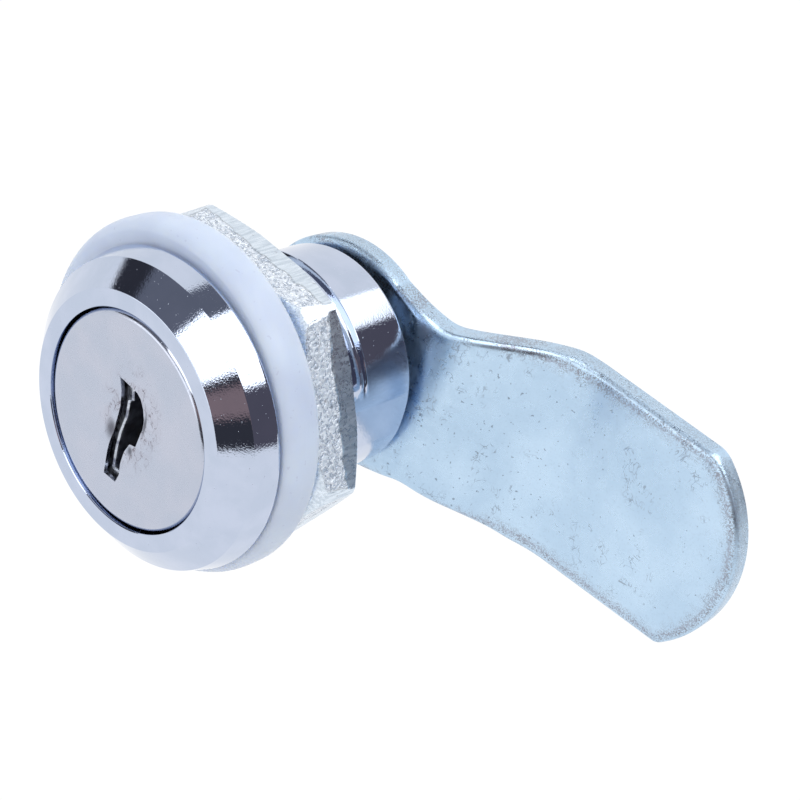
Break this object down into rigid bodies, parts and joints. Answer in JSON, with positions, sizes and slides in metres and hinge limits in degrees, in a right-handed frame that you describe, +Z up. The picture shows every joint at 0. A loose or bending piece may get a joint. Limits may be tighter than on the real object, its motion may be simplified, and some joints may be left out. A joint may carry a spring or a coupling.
{
  "type": "cam lock",
  "caption": "Round-head keyed quarter-turn cam lock: chromed head and threaded barrel with side flats, sealing washer, hexagon nut and a cranked cam.",
  "frame": {"origin": "on the lock's axis, in the plane of the head's back face, which draws up against the door", "axes": "+Y along the axis from the keyed face to the cam screw, +X towards the cam's tip at rest, +Z up across the keyway's long side"},
  "size_m": [0.0573, 0.0334, 0.031],
  "materials": {
    "bright_chrome": "bright nickel-chrome plate on a zinc casting",
    "white_nylon": "soft translucent white nylon",
    "zinc_plated_steel": "zinc plate over stamped and cut edges",
    "die_cast_zinc": "plain die-cast zinc",
    "satin_stainless": "satin stainless sheet, lightly scuffed",
    "wafer_brass": "stamped brass",
    "spring_steel": "drawn spring wire and hardened washer",
    "blue_passivated_zinc": "zinc plate with a pale blue passivated film"
  },
  "bodies": {
    "housing": {"housing": "bright_chrome", "sealing_washer": "white_nylon"},
    "nut": {"mounting_nut": "zinc_plated_steel"},
    "plug": {"plug": "die_cast_zinc", "face_cap": "satin_stainless", "wafer_spring_1": "spring_steel", "wafer_spring_2": "spring_steel", "wafer_spring_3": "spring_steel", "wafer_spring_4": "spring_steel", "wafer_spring_5": "spring_steel", "wafer_spring_6": "spring_steel", "stop_washer": "zinc_plated_steel", "cam": "blue_passivated_zinc", "flat_washer": "zinc_plated_steel", "spring_washer": "spring_steel", "cam_screw": "zinc_plated_steel"},
    "wafer_1": {"wafer_1": "wafer_brass"},
    "wafer_2": {"wafer_2": "wafer_brass"},
    "wafer_3": {"wafer_3": "wafer_brass"},
    "wafer_4": {"wafer_4": "wafer_brass"},
    "wafer_5": {"wafer_5": "wafer_brass"},
    "wafer_6": {"wafer_6": "wafer_brass"}
  },
  "joints": [
    {"name": "plug_turn", "type": "hinge", "parent": "housing", "child": "plug", "pos_m": [0, 0, 0], "axis": [0, 1, 0], "range_deg": [-90, 0]},
    {"name": "nut_travel", "type": "slide", "parent": "housing", "child": "nut", "axis": [0, 1, 0], "range_m": [0, 0.0043]},
    {"name": "wafer_1_slide", "type": "slide", "parent": "plug", "child": "wafer_1", "axis": [0, 0, 1], "range_m": [0, 0.0011], "deforming": ["wafer_spring_1"]},
    {"name": "wafer_2_slide", "type": "slide", "parent": "plug", "child": "wafer_2", "axis": [0, 0, 1], "range_m": [0, 0.0011], "deforming": ["wafer_spring_2"]},
    {"name": "wafer_3_slide", "type": "slide", "parent": "plug", "child": "wafer_3", "axis": [0, 0, 1], "range_m": [0, 0.0011], "deforming": ["wafer_spring_3"]},
    {"name": "wafer_4_slide", "type": "slide", "parent": "plug", "child": "wafer_4", "axis": [0, 0, 1], "range_m": [0, 0.0011], "deforming": ["wafer_spring_4"]},
    {"name": "wafer_5_slide", "type": "slide", "parent": "plug", "child": "wafer_5", "axis": [0, 0, 1], "range_m": [0, 0.0011], "deforming": ["wafer_spring_5"]},
    {"name": "wafer_6_slide", "type": "slide", "parent": "plug", "child": "wafer_6", "axis": [0, 0, 1], "range_m": [0, 0.0011], "deforming": ["wafer_spring_6"]}
  ]
}
